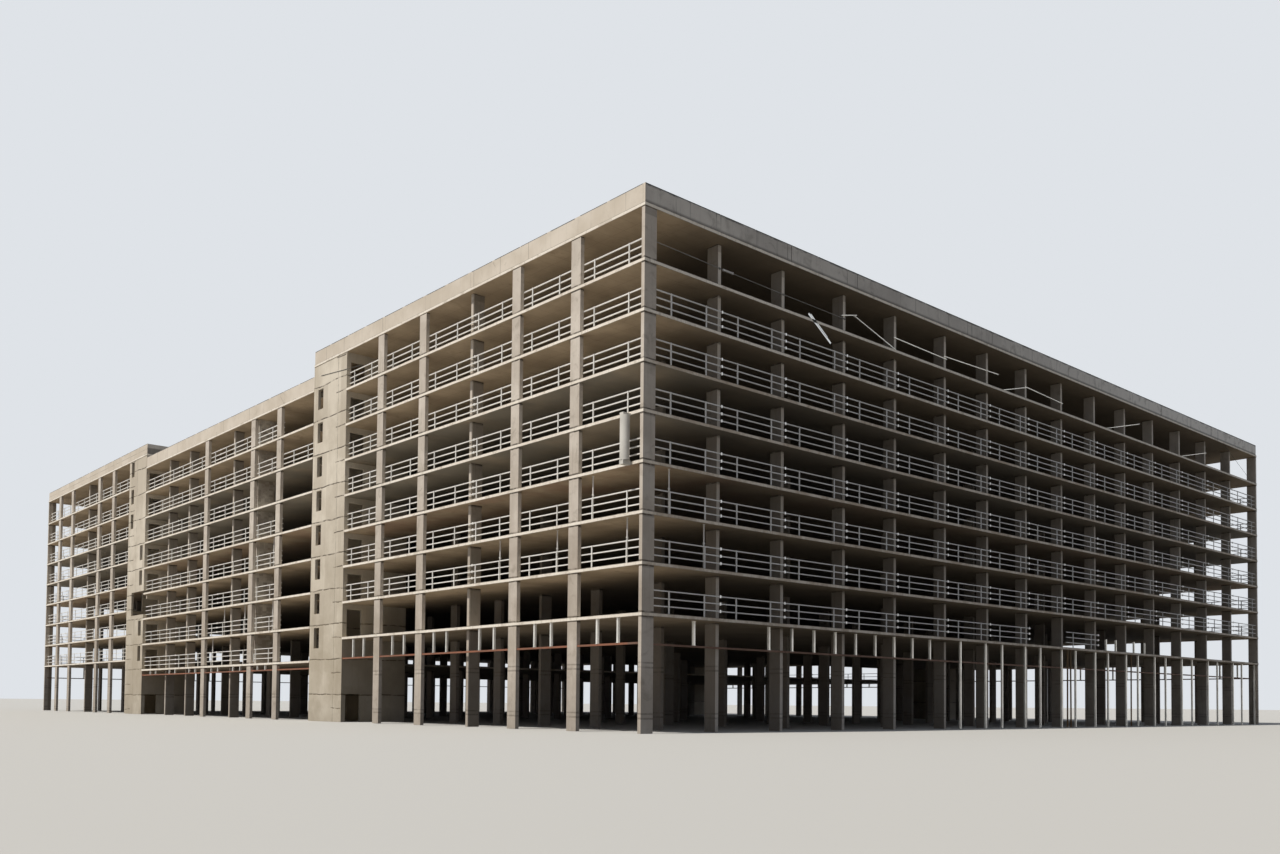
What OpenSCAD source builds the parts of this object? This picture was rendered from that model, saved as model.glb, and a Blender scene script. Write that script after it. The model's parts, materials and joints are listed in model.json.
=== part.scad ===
// Open multi storey car park in bare cast concrete, drawn at one tenth of full size.
// It has three blocks in a row with staggered floors: the rear block's floors lie half
// a metre of full size below the front block's, and the middle block's about a third of
// a storey above them. Stair cores stand between the blocks on both long sides.
// Places are measured from the near corner: u along the front face and v along the side
// face. Lengths are in millimetres of the model.

/* [Storeys] */
// Height of the ground storey, up to the top of the first floor slab
ground_h = 710; // [620:10:780]
// Height from one floor slab to the next
storey_h = 300; // [280:5:340]
// Number of floor slabs in each block, without the roof
floors = 8; // [7:1:9]
// Height of the top storey in the front and rear blocks, up to the top of the roof slab
top_storey_h = 332; // [310:2:380]
// How far the middle block's floors stand above those of the front block
middle_rise = 118; // [100:2:140]
// How far the rear block's floors lie below those of the front block
rear_drop = 55; // [40:5:70]
// Height of the middle block's top storey, up to the top of its roof slab
middle_top_storey_h = 296; // [290:1:320]
// Thickness of the floor and roof slabs
slab_t = 20; // [18:1:28]
// Height of the roof parapet above the roof slab
parapet_h = 118; // [80:2:140]
// Thickness of the roof parapet
parapet_t = 20; // [14:1:28]
// How far the parapet stands in from the edge of the roof slab
parapet_inset = 6; // [1:1:8]
// Open joint between two lengths of parapet
parapet_joint = 1; // [1:0.5:3]

/* [Bays] */
// Length of the front face
front_length = 9630; // [9450:5:9850]
// Length of a side face
side_length = 13165; // [13000:5:13400]
// Distance from the near corner to the first front pylon
front_first_bay = 734; // [700:2:780]
// Number of front pylons between the two corner pylons
front_pylons = 14; // [13:1:15]
// Extra width of the front bay that holds the expansion joint
front_joint_gap = 75; // [0:5:100]
// Distance from the last front pylon to the far corner
front_last_bay = 553; // [520:1:600]
// Distance from a corner to the first pylon of a side face
side_end_bay = 650; // [610:5:700]
// How far each front pylon line is moved from its even place
front_moves = [0, -19, 10, -9, 24, 11, 2, -5, -8, -14, -19, -6, -45, 15];
// How far each line of the side faces is moved from its even place
side_moves = [6, 29, 12, 0, 22, 0, 0, 74, 49, -5, 2, -15, -8, 65, 0, 53, 33, 0, 20, 20];
// Distance between two lines of inner pylons, counted in front bays
inner_step = 2; // [2:1:4]

/* [Pylons] */
// Thin side of a wall pylon
pylon_t = 28; // [24:1:36]
// Broad side of a wall pylon
pylon_w = 95; // [80:5:110]
// How far the outer pylons and core walls stand behind the slab edges
face_setback = 3; // [1:1:6]
// How far the crosswise pylons of the front face stand back from the slab edge
front_setback = 100; // [60:5:140]
// How far the crosswise pylons of a side face stand back from the slab edge
cross_setback = 45; // [42:1:70]

/* [Stair cores] */
// Depth of a stair core behind the side face
core_depth = 600; // [540:10:640]
// Width of the front stair cores along the side face
front_core_w = 612; // [580:2:620]
// Width of the rear stair cores along the side face
rear_core_w = 615; // [600:5:680]
// Thickness of the core walls
core_wall_t = 25; // [20:1:32]
// Distance from the slab edge to the core doorways
core_jamb = 42; // [40:1:60]
// Width of a core doorway
door_w = 136; // [100:4:160]
// Height of a core doorway
door_h = 235; // [200:5:240]
// Width of a slit window
slit_w = 98; // [60:2:110]
// Height of a slit window
slit_h = 178; // [140:2:190]
// Wall left beyond the slit windows of a front core
front_slit_margin = 82; // [60:2:100]
// Wall left beyond the slit windows of a rear core
rear_slit_margin = 76; // [60:2:100]
// Wall left above the slit windows on the rear block's side of a rear core
rear_slit_head = 15; // [10:1:30]
// Height at which the missing wall of the rear core starts above the floor
breach_sill = 50; // [30:5:70]
// Height of the missing wall
breach_h = 280; // [260:5:300]

/* [Railings] */
// Height of the top rail's upper face above the floor
rail_h = 141; // [120:1:150]
// Thickness of the square rails
rail_t = 7; // [5:0.5:8]
// Distance between two rails
rail_pitch = 46; // [36:1:46]
// Width of a railing post
post_w = 9; // [7:0.5:14]
// Thickness of a railing post
post_t = 5; // [4:0.5:8]
// How far the front railing posts stand back from the slab edge
front_rail_inset = 10; // [5:1:20]
// Place of the first railing post on the front face
front_first_post = 231; // [200:1:260]
// Distance from the first front pylon to the post behind it
front_post_step = 81; // [60:1:100]
// How much nearer that post stands at every further pylon
front_post_drift = 7.3; // [0:0.1:7.5]
// Distance from the second post of a front bay to the next bay's first one
front_post_gap = 285; // [260:1:300]
// Distance from the last front railing post to the far corner
front_last_post = 140; // [120:5:160]
// Distance from the end of a side pylon to the post behind it
side_post_step = 153; // [130:1:170]
// Distance between the two posts of a side bay
side_post_pitch = 296; // [270:1:310]
// Places of the two posts of a side face's first bay
side_first_posts = [171, 499];
// How far before a post a front railing length ends
rail_end_step = 115; // [100:5:140]

/* [Ground storey framing] */
// Height of the purlins' upper face below the top of the first floor slab
purlin_drop = 173; // [120:1:220]
// Height of the middle block's purlins' upper face below the underside of its first slab
middle_purlin_drop = 44; // [20:2:60]
// Height of a purlin
purlin_h = 12; // [8:1:26]
// Width of a purlin
purlin_w = 15; // [12:1:20]
// Width of the square hangers, stubs and tall posts
steel_w = 15; // [10:1:15]
// Distance of the side face's purlins from the slab edge
side_purlin_inset = 8; // [4:1:12]
// Distance of the tall posts and stubs from the front slab edge
tall_post_inset = 25; // [15:1:40]
// Places of the first two front hangers from the first front pylon
first_hanger_steps = [-216, 481];
// Distance between the other front hangers
hanger_pitch = 233; // [220:1:240]
// Number of front hangers at that distance
hanger_count = 9; // [5:1:9]
// Places of the two hangers of a side bay behind its line
side_hanger_steps = [230, 408];
// Places of the two hangers of a side face's first bay
side_first_hangers = [225, 420];
// Places of the two tall posts of a front bay, from its pylon
tall_post_steps = [-145, 110];
// Front line at which the tall posts start
tall_post_line = 4; // [3:1:5]
// Height of the stub posts that stand on the first floor slab
stub_h = 105; // [80:5:130]
// Places of the stub posts, each as a count of pylons past the railing's end and a distance
stub_steps = [[2, 40], [2, 238], [3, -10], [3, 222]];

/* [Wall tube] */
// Diameter of the upright tube on the left face
tube_d = 60; // [40:1:80]
// Wall of the tube
tube_wall = 3; // [1:0.5:6]
// Length of the tube
tube_h = 270; // [200:5:275]
// Gap between the tube and the slab edge
tube_gap = 3; // [1:1:8]
// Distance of the tube's axis from the front face
tube_v = 126; // [90:1:150]
// Width of the two brackets that carry the tube
tube_bracket_w = 34; // [12:1:40]
// Height of the lower bracket
tube_bracket_h = 26; // [16:1:30]

/* [Hidden] */

// Lines of the plan
side_lines = 20;
front_core_line = 5;
rear_core_line = 13;
crosswise_lines = [2, 9, 11, 12, 17];
front_block_lines = [0, 1, 2, 3, 4];
middle_block_lines = [7, 8, 9, 10, 11, 12];
rear_block_lines = [15, 16, 17, 18, 19];
front_block_inner_lines = [0, 2, 4];
middle_block_inner_lines = [8, 10, 12];
rear_block_inner_lines = [15, 17, 19];
front_block_low_lines = [1, 3];
middle_block_low_lines = [7, 9, 11];
rear_block_low_lines = [16, 18];
inner_columns = [for (j = [0:inner_step:front_pylons - 1]) j];

front_joint_line = front_pylons - 2;
rail_gap_line = 6;
tube_storey = 3;

// Where the lines of the plan lie. The building reaches past its left face by the tube
front_even_run = front_length - front_first_bay - front_joint_gap - front_last_bay;
front_pitch = front_even_run / (front_pylons - 1);
side_pitch = (side_length - 2 * side_end_bay) / (side_lines - 1);
tube_reach = tube_gap + tube_d;
middle_x = tube_reach / 2;

function moved(moves, i) = i < len(moves) ? moves[i] : 0;
function front_line(j) = front_first_bay + front_pitch * j + moved(front_moves, j)
    + (j < front_joint_line ? 0 : front_joint_gap);
function side_line(k) = side_end_bay + side_pitch * k + moved(side_moves, k);
function is_crosswise(k) = len(search(k, crosswise_lines)) > 0;
function line_depth(k) = is_crosswise(k) ? pylon_t : pylon_w;

pylon_back = face_setback + pylon_t;
pylon_side = face_setback + pylon_w;
front_core_v = side_line(front_core_line) - core_wall_t / 2;
front_core_end = front_core_v + front_core_w;
rear_core_v = side_line(rear_core_line) - core_wall_t / 2;
rear_core_end = rear_core_v + rear_core_w;

// Levels of the slabs
floor_tops = [for (i = [0:floors - 1]) ground_h + storey_h * i];
middle_tops = [for (i = [0:floors - 1]) ground_h + middle_rise + storey_h * (i - 1)];
rear_tops = [for (z = floor_tops) z - rear_drop];
roof_top = floor_tops[floors - 1] + top_storey_h;
middle_roof_top = middle_tops[floors - 1] + middle_top_storey_h;
rear_roof_top = roof_top - rear_drop;
front_core_top = roof_top - slab_t;
rear_core_top = rear_roof_top - slab_t;

function storeys(tops, roof) = [
    for (i = [0:floors])
        [i == 0 ? 0 : tops[i - 1], (i == floors ? roof : tops[i]) - slab_t]
];
front_storeys = storeys(floor_tops, roof_top);
middle_storeys = storeys(middle_tops, middle_roof_top);
rear_storeys = storeys(rear_tops, rear_roof_top);
lower_storeys = [1, 2, 3, 4];
upper_storeys = [for (i = [5:floors]) i];

// Slit windows, doorways and the breach, each as a span of heights
front_slits = [
    for (i = [1:floors])
        let (top = (i == floors ? middle_roof_top : middle_tops[i]) - slab_t)
            [top - slit_h, top]
];
breach = [middle_tops[2] + breach_sill, middle_tops[2] + breach_sill + breach_h];
rear_near_slits = [for (i = [1, 2, 4, 5]) [middle_tops[i] - slab_t - slit_h, middle_tops[i] - slab_t]];
rear_far_slits = [
    for (i = [5:floors - 1])
        let (top = (i == floors - 1 ? rear_roof_top : rear_tops[i + 1]) - slab_t - rear_slit_head)
            [top - slit_h, top]
];
front_doors = [for (z = floor_tops) [z, z + door_h]];
middle_doors = [for (z = middle_tops) [z, z + door_h]];
rear_doors = [for (z = rear_tops) [z, z + door_h]];
front_slit_v = front_core_end - front_slit_margin - slit_w;
near_slit_v = rear_core_v + rear_slit_margin;
far_slit_v = rear_core_end - rear_slit_margin - slit_w;

// Railing planes
side_rail_u = pylon_back;
front_rail_v = front_rail_inset + post_t;
front_purlin_v = front_setback - purlin_w;
hanger_inset = side_purlin_inset;

// The parts of a core wall between the heights z_from and z_to that are left between its openings
function solid_parts(z_from, z_to, openings) = [
    for (i = [0:len(openings)])
        [i == 0 ? z_from : openings[i - 1][1], i == len(openings) ? z_to : openings[i][0]]
];

// Box between two corners, each given as u, v and height
module span(from, to) {
    translate([from[0] - front_length / 2 + middle_x, from[1] - side_length / 2, from[2]])
        cube(to - from);
}

module right_side() {
    translate([2 * middle_x, 0, 0]) mirror([1, 0, 0]) children();
}

module both_sides() {
    children();
    right_side() children();
}

// Slabs and parapets
module slabs(tops, u_from, u_to, v_from, v_to) {
    for (z = tops)
        span([u_from, v_from, z - slab_t], [u_to, v_to, z]);
}

module parapet_along_front(v, bottom) {
    bays = front_pylons + 1;
    bay = (front_length - 2 * parapet_inset) / bays;
    for (i = [0:bays - 1])
        span([parapet_inset + bay * i + parapet_joint / 2, v, bottom],
             [parapet_inset + bay * (i + 1) - parapet_joint / 2, v + parapet_t, bottom + parapet_h]);
}

module parapet_along_side(v_from, v_to, bottom) {
    bays = round((v_to - v_from) / side_pitch);
    bay = (v_to - v_from) / bays;
    for (i = [0:bays - 1])
        span([parapet_inset, v_from + bay * i + parapet_joint / 2, bottom],
             [parapet_inset + parapet_t, v_from + bay * (i + 1) - parapet_joint / 2, bottom + parapet_h]);
}

// Parapet round the roof of the front block
module front_parapet_ring() {
    inner_from = parapet_inset + parapet_t;
    cross_v = front_core_end - parapet_t;
    parapet_along_front(parapet_inset, roof_top);
    parapet_along_front(cross_v, roof_top);
    both_sides() parapet_along_side(inner_from, cross_v, roof_top);
}

module rear_parapet_ring() {
    inner_to = side_length - parapet_inset - parapet_t;
    parapet_along_front(rear_core_v, rear_roof_top);
    parapet_along_front(inner_to, rear_roof_top);
    both_sides() parapet_along_side(rear_core_v + parapet_t, inner_to, rear_roof_top);
}

// Footprints of the pylons, each as its middle and its size along u and v
front_feet = [
    for (j = [0:front_pylons - 1])
        [front_line(j), front_setback + pylon_w / 2, pylon_t, pylon_w]
];
back_feet = [for (f = front_feet) [f[0], side_length - f[1], f[2], f[3]]];
front_corner_feet = [
    [pylon_side - pylon_w / 2, pylon_back - pylon_t / 2, pylon_w, pylon_t],
    [front_length - pylon_back + pylon_t / 2, pylon_side - pylon_w / 2, pylon_t, pylon_w]
];
back_corner_feet = [for (f = front_corner_feet) [f[0], side_length - f[1], f[2], f[3]]];

function line_foot(u, k) = is_crosswise(k)
    ? [u, side_line(k), pylon_w, pylon_t]
    : [u, side_line(k), pylon_t, pylon_w];
function side_feet(lines) = [
    for (k = lines, right = [false, true])
        let (u = is_crosswise(k) ? cross_setback + pylon_w / 2 : pylon_back - pylon_t / 2)
            line_foot(right ? front_length - u : u, k)
];
function inner_feet(lines) = [for (k = lines, j = inner_columns) line_foot(front_line(j), k)];
function joint_feet(v) = [for (j = inner_columns) [front_line(j), v, pylon_w, pylon_t]];

front_block_feet = concat(
    front_corner_feet, front_feet, side_feet(front_block_lines),
    inner_feet(front_block_inner_lines), joint_feet(front_core_end - pylon_t / 2)
);
middle_block_feet = concat(
    side_feet(middle_block_lines), inner_feet(middle_block_inner_lines),
    joint_feet(front_core_end + pylon_t / 2), joint_feet(rear_core_v - pylon_t / 2)
);
rear_block_feet = concat(
    back_corner_feet, back_feet, side_feet(rear_block_lines),
    inner_feet(rear_block_inner_lines), joint_feet(rear_core_v + pylon_t / 2)
);
front_low_feet = inner_feet(front_block_low_lines);
middle_low_feet = inner_feet(middle_block_low_lines);
rear_low_feet = inner_feet(rear_block_low_lines);

// The feet in low_feet carry pylons in the two lowest storeys alone
module pylons(feet, low_feet, levels, indices) {
    for (i = indices, f = concat(feet, i <= 1 ? low_feet : []))
        span([f[0] - f[2] / 2, f[1] - f[3] / 2, levels[i][0]],
             [f[0] + f[2] / 2, f[1] + f[3] / 2, levels[i][1]]);
}

// Walls of the stair cores
module outer_wall(v_from, v_to, top, openings) {
    for (part = solid_parts(0, top, openings))
        span([face_setback, v_from, part[0]], [face_setback + core_wall_t, v_to, part[1]]);
}

module side_wall(v, u_from, u_to, z_from, z_to, openings) {
    for (part = solid_parts(z_from, z_to, openings))
        span([u_from, v, part[0]], [u_to, v + core_wall_t, part[1]]);
}

module rear_strips(openings) {
    outer_wall(rear_core_v + core_wall_t, near_slit_v, rear_core_top, openings);
    outer_wall(near_slit_v + slit_w, far_slit_v, rear_core_top, openings);
    outer_wall(far_slit_v + slit_w, rear_core_end - core_wall_t, rear_core_top, []);
}

module rear_slit_panel(v, openings) {
    outer_wall(v, v + slit_w, rear_core_top, openings);
}

module core_side(v, top, jamb_openings) {
    side_wall(v, face_setback, core_jamb, 0, top, jamb_openings);
    side_wall(v, core_jamb + door_w, core_depth, 0, top, []);
}

module core_lintels(v, top, doors) {
    side_wall(v, core_jamb, core_jamb + door_w, door_h, top, doors);
}

module core_back(v_from, v_to, top) {
    span([core_depth - core_wall_t, v_from + core_wall_t, 0],
         [core_depth, v_to - core_wall_t, top]);
}

// Railings: each run is given as where it starts, where it ends and its floor
function front_post(j) = front_line(j) + front_post_step - front_post_drift * j;
front_posts = concat(
    [front_first_post],
    [for (j = [0:front_pylons - 1]) each [front_post(j) - front_post_gap, front_post(j)]],
    [front_length - front_last_post]
);
function side_post(k) = side_post_step + (
    k == front_core_line + 1 ? front_core_end
    : k == rear_core_line + 1 ? rear_core_end
    : side_line(k) + line_depth(k) / 2
);
side_posts = concat(
    side_first_posts,
    [for (k = [0:side_lines - 1], step = [0, side_post_pitch]) side_post(k) + step]
);
function full_runs(tops) = [
    for (i = [0:floors - 2]) [pylon_side, front_length - pylon_back, tops[i]]
];
function rail_end(j) = front_post(j) - rail_end_step;
// On the first floor the front railing is missing past the sixth bay, but for one length
front_runs = concat(
    [[pylon_side, rail_end(rail_gap_line), floor_tops[0]]],
    [[rail_end(rail_gap_line + 1), rail_end(rail_gap_line + 2), floor_tops[0]]],
    [for (i = [1:floors - 2]) full_runs(floor_tops)[i]]
);
back_runs = full_runs(rear_tops);
// The middle block's left railings start at a pylon on the floors in missing_bays
missing_bays = [1, 1, 1, 1, 1, 2, 0, 1];
left_middle_starts = [
    for (bays = missing_bays)
        bays == 0 ? front_core_end : side_line(middle_block_lines[bays - 1]) - pylon_w / 2
];
function front_side_runs(last) = [for (i = [1:last]) [pylon_back, front_core_v, floor_tops[i]]];
rear_side_runs = [for (z = rear_tops) [rear_core_end, side_length - pylon_back, z]];
left_runs = concat(
    front_side_runs(floors - 1), rear_side_runs,
    [for (i = [0:floors - 1]) [left_middle_starts[i], rear_core_v, middle_tops[i]]]
);
// The front block's top storey has no railing on its right side
right_runs = concat(
    front_side_runs(floors - 2), rear_side_runs,
    [for (z = middle_tops) [front_core_end, rear_core_v, z]]
);

module long_face_rails(runs) {
    for (run = runs, n = [0:2]) {
        top = run[2] + rail_h - rail_pitch * n;
        span([run[0], front_rail_v, top - rail_t], [run[1], front_rail_v + rail_t, top]);
    }
}

module long_face_posts(runs) {
    for (run = runs, u = front_posts)
        if (u > run[0] && u < run[1])
            span([u - post_w / 2, front_rail_inset, run[2]],
                 [u + post_w / 2, front_rail_v, run[2] + rail_h]);
}

module side_face_rails(runs) {
    for (run = runs, n = [0:2]) {
        top = run[2] + rail_h - rail_pitch * n;
        span([side_rail_u, run[0], top - rail_t], [side_rail_u + rail_t, run[1], top]);
    }
}

module side_face_posts(runs) {
    for (run = runs, v = side_posts)
        if (v > run[0] && v < run[1])
            span([side_rail_u - post_t, v - post_w / 2, run[2]],
                 [side_rail_u, v + post_w / 2, run[2] + rail_h]);
}

// Steel framing in the ground storey
middle_purlin_top = middle_tops[0] - slab_t - middle_purlin_drop;

module front_hanger(u, floor_top) {
    span([u - steel_w / 2, front_setback - steel_w, floor_top - purlin_drop],
         [u + steel_w / 2, front_setback, floor_top - slab_t]);
}

module tall_post(u, floor_top) {
    span([u - steel_w / 2, tall_post_inset, 0],
         [u + steel_w / 2, tall_post_inset + steel_w, floor_top - slab_t]);
}

module long_purlin(floor_top) {
    span([side_purlin_inset + purlin_w, front_purlin_v, floor_top - purlin_drop - purlin_h],
         [front_length - pylon_back, front_setback, floor_top - purlin_drop]);
}

module side_hanger(v, bottom, top) {
    span([hanger_inset, v - steel_w / 2, bottom],
         [hanger_inset + steel_w, v + steel_w / 2, top]);
}

module side_purlin(v_from, v_to, top) {
    span([side_purlin_inset, v_from, top - purlin_h],
         [side_purlin_inset + purlin_w, v_to, top]);
}

function flush_ends(lines, first, last) = concat(
    [first],
    [for (k = lines) if (!is_crosswise(k)) each [side_line(k) - pylon_w / 2, side_line(k) + pylon_w / 2]],
    [last]
);

module purlins_between(ends, top) {
    for (i = [0:2:len(ends) - 2])
        side_purlin(ends[i], ends[i + 1], top);
}

// The sub-parts
module front_floor_slabs() {
    color("tan") slabs(floor_tops, 0, front_length, 0, front_core_v);
}

module front_link_slabs() {
    color("tan") slabs(floor_tops, core_depth, front_length - core_depth, front_core_v, front_core_end);
}

module front_roof_slab() {
    color("wheat") slabs([roof_top], 0, front_length, 0, front_core_end);
}

module front_parapet() {
    color("lightgray") front_parapet_ring();
}

module middle_floor_slabs() {
    color("tan") slabs(middle_tops, 0, front_length, front_core_end, rear_core_v);
}

module middle_roof_slab() {
    color("wheat") slabs([middle_roof_top], 0, front_length, front_core_end, rear_core_v);
}

module middle_parapet() {
    color("lightgray") both_sides() parapet_along_side(front_core_end, rear_core_v, middle_roof_top);
}

module rear_floor_slabs() {
    color("tan") slabs(rear_tops, 0, front_length, rear_core_end, side_length);
}

module rear_link_slabs() {
    color("tan") slabs(rear_tops, core_depth, front_length - core_depth, rear_core_v, rear_core_end);
}

module rear_roof_slab() {
    color("wheat") slabs([rear_roof_top], 0, front_length, rear_core_v, side_length);
}

module rear_parapet() {
    color("lightgray") rear_parapet_ring();
}

module front_ground_pylons() {
    color("silver") pylons(front_block_feet, front_low_feet, front_storeys, [0]);
}

module front_lower_pylons() {
    color("silver") pylons(front_block_feet, front_low_feet, front_storeys, lower_storeys);
}

module front_upper_pylons() {
    color("silver") pylons(front_block_feet, front_low_feet, front_storeys, upper_storeys);
}

module middle_ground_pylons() {
    color("silver") pylons(middle_block_feet, middle_low_feet, middle_storeys, [0]);
}

module middle_lower_pylons() {
    color("silver") pylons(middle_block_feet, middle_low_feet, middle_storeys, lower_storeys);
}

module middle_upper_pylons() {
    color("silver") pylons(middle_block_feet, middle_low_feet, middle_storeys, upper_storeys);
}

module rear_ground_pylons() {
    color("silver") pylons(rear_block_feet, rear_low_feet, rear_storeys, [0]);
}

module rear_lower_pylons() {
    color("silver") pylons(rear_block_feet, rear_low_feet, rear_storeys, lower_storeys);
}

module rear_upper_pylons() {
    color("silver") pylons(rear_block_feet, rear_low_feet, rear_storeys, upper_storeys);
}

module front_core_outer_strips() {
    color("antiquewhite") both_sides() {
        outer_wall(front_core_v + core_wall_t, front_slit_v, front_core_top, []);
        outer_wall(front_slit_v + slit_w, front_core_end - core_wall_t, front_core_top, []);
    }
}

module front_core_slit_panels() {
    color("antiquewhite") both_sides()
        outer_wall(front_slit_v, front_slit_v + slit_w, front_core_top, front_slits);
}

// The breach is only in the left core, where a lift of the wall is missing up to its far slits
module rear_core_outer_strips() {
    color("antiquewhite") {
        rear_strips([breach]);
        right_side() rear_strips([]);
    }
}

module rear_core_slit_panels() {
    low_slits = [rear_near_slits[0], rear_near_slits[1]];
    high_slits = [rear_near_slits[2], rear_near_slits[3]];
    color("antiquewhite") {
        rear_slit_panel(near_slit_v, concat(low_slits, [breach], high_slits));
        rear_slit_panel(far_slit_v, rear_far_slits);
        right_side() {
            rear_slit_panel(near_slit_v, rear_near_slits);
            rear_slit_panel(far_slit_v, rear_far_slits);
        }
    }
}

module core_side_walls() {
    color("gainsboro") {
        both_sides() {
            core_side(front_core_v, front_core_top, []);
            core_side(front_core_end - core_wall_t, front_core_top, []);
            core_side(rear_core_end - core_wall_t, rear_core_top, []);
        }
        core_side(rear_core_v, rear_core_top, [breach]);
        right_side() core_side(rear_core_v, rear_core_top, []);
    }
}

module core_door_lintels() {
    color("gainsboro") both_sides() {
        core_lintels(front_core_v, front_core_top, front_doors);
        core_lintels(front_core_end - core_wall_t, front_core_top, middle_doors);
        core_lintels(rear_core_v, rear_core_top, middle_doors);
        core_lintels(rear_core_end - core_wall_t, rear_core_top, rear_doors);
    }
}

module core_inner_walls() {
    color("gainsboro") both_sides() {
        core_back(front_core_v, front_core_end, front_core_top);
        core_back(rear_core_v, rear_core_end, rear_core_top);
    }
}

module front_rails() {
    color("lightsteelblue") long_face_rails(front_runs);
}

module front_rail_posts() {
    color("slategray") long_face_posts(front_runs);
}

module back_rails() {
    color("lightsteelblue") mirror([0, 1, 0]) long_face_rails(back_runs);
}

module back_rail_posts() {
    color("slategray") mirror([0, 1, 0]) long_face_posts(back_runs);
}

module left_rails() {
    color("lightsteelblue") side_face_rails(left_runs);
}

module left_rail_posts() {
    color("slategray") side_face_posts(left_runs);
}

module right_rails() {
    color("lightsteelblue") right_side() side_face_rails(right_runs);
}

module right_rail_posts() {
    color("slategray") right_side() side_face_posts(right_runs);
}

module long_face_hangers(floor_top) {
    front_hanger(front_line(0) + first_hanger_steps[0], floor_top);
    for (n = [0:hanger_count - 1])
        front_hanger(front_line(0) + first_hanger_steps[1] + hanger_pitch * n, floor_top);
}

module long_face_tall_posts(floor_top) {
    tall_post(front_line(tall_post_line) + tall_post_steps[1], floor_top);
    for (j = [tall_post_line + 1:front_pylons - 1], step = tall_post_steps)
        tall_post(front_line(j) + step, floor_top);
    tall_post(front_length - pylon_back - steel_w, floor_top);
}

module front_hangers() {
    color("whitesmoke") long_face_hangers(floor_tops[0]);
}

module front_purlin() {
    color("sienna") long_purlin(floor_tops[0]);
}

module front_tall_posts() {
    color("whitesmoke") long_face_tall_posts(floor_tops[0]);
}

module front_stub_posts() {
    color("whitesmoke")
        for (step = stub_steps) {
            u = front_line(rail_gap_line + step[0]) + step[1];
            span([u - steel_w / 2, front_rail_inset, ground_h],
                 [u + steel_w / 2, front_rail_inset + steel_w, ground_h + stub_h]);
        }
}

module back_hangers() {
    color("whitesmoke") mirror([0, 1, 0]) long_face_hangers(rear_tops[0]);
}

module back_purlin() {
    color("sienna") mirror([0, 1, 0]) long_purlin(rear_tops[0]);
}

module back_tall_posts() {
    color("whitesmoke") mirror([0, 1, 0]) long_face_tall_posts(rear_tops[0]);
}

module side_hangers() {
    places = concat(side_first_hangers,
                    [for (k = front_block_lines, step = side_hanger_steps) side_line(k) + step]);
    middle_places = [for (k = middle_block_lines, step = side_hanger_steps) side_line(k) + step];
    color("whitesmoke") both_sides() {
        for (v = places)
            side_hanger(v, ground_h - purlin_drop, ground_h - slab_t);
        for (v = middle_places)
            side_hanger(v, middle_purlin_top, middle_tops[0] - slab_t);
    }
}

// The front block's side purlins start behind the corner pylon, which is broader on the right
module side_purlins() {
    front_top = ground_h - purlin_drop;
    color("sienna") {
        purlins_between(flush_ends(front_block_lines, pylon_back, front_core_v), front_top);
        right_side() purlins_between(flush_ends(front_block_lines, pylon_side, front_core_v), front_top);
        both_sides()
            purlins_between(flush_ends(middle_block_lines, front_core_end, rear_core_v), middle_purlin_top);
    }
}

// Upright tube on two brackets, which reach from the edges of two slabs to its inner side
module wall_tube() {
    bottom = floor_tops[tube_storey];
    axis_u = -tube_gap - tube_d / 2;
    tube_bottom = bottom + (storey_h - slab_t - tube_h) / 2;
    tube_top = tube_bottom + tube_h;
    bracket_depth = tube_reach - tube_wall;
    color("white") {
        difference() {
            translate([axis_u - front_length / 2 + middle_x, tube_v - side_length / 2, tube_bottom])
                cylinder(h = tube_h, d = tube_d, $fn = 48);
            translate([axis_u - front_length / 2 + middle_x, tube_v - side_length / 2, tube_bottom - 1])
                cylinder(h = tube_h + 2, d = tube_d - 2 * tube_wall, $fn = 48);
        }
        for (z = [[tube_bottom - tube_bracket_h, tube_bottom], [tube_top, tube_top + tube_bracket_h / 2]])
            span([-bracket_depth, tube_v - tube_bracket_w / 2, z[0]],
                 [0, tube_v + tube_bracket_w / 2, z[1]]);
    }
}

front_floor_slabs();
front_link_slabs();
front_roof_slab();
front_parapet();
middle_floor_slabs();
middle_roof_slab();
middle_parapet();
rear_floor_slabs();
rear_link_slabs();
rear_roof_slab();
rear_parapet();
front_ground_pylons();
front_lower_pylons();
front_upper_pylons();
middle_ground_pylons();
middle_lower_pylons();
middle_upper_pylons();
rear_ground_pylons();
rear_lower_pylons();
rear_upper_pylons();
front_core_outer_strips();
front_core_slit_panels();
rear_core_outer_strips();
rear_core_slit_panels();
core_side_walls();
core_door_lintels();
core_inner_walls();
front_rails();
front_rail_posts();
back_rails();
back_rail_posts();
left_rails();
left_rail_posts();
right_rails();
right_rail_posts();
front_hangers();
front_purlin();
front_tall_posts();
front_stub_posts();
back_hangers();
back_purlin();
back_tall_posts();
side_hangers();
side_purlins();
wall_tube();
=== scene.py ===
import json
import math
import random
from functools import partial

import bmesh
import bpy
from mathutils import Matrix, Vector


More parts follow.
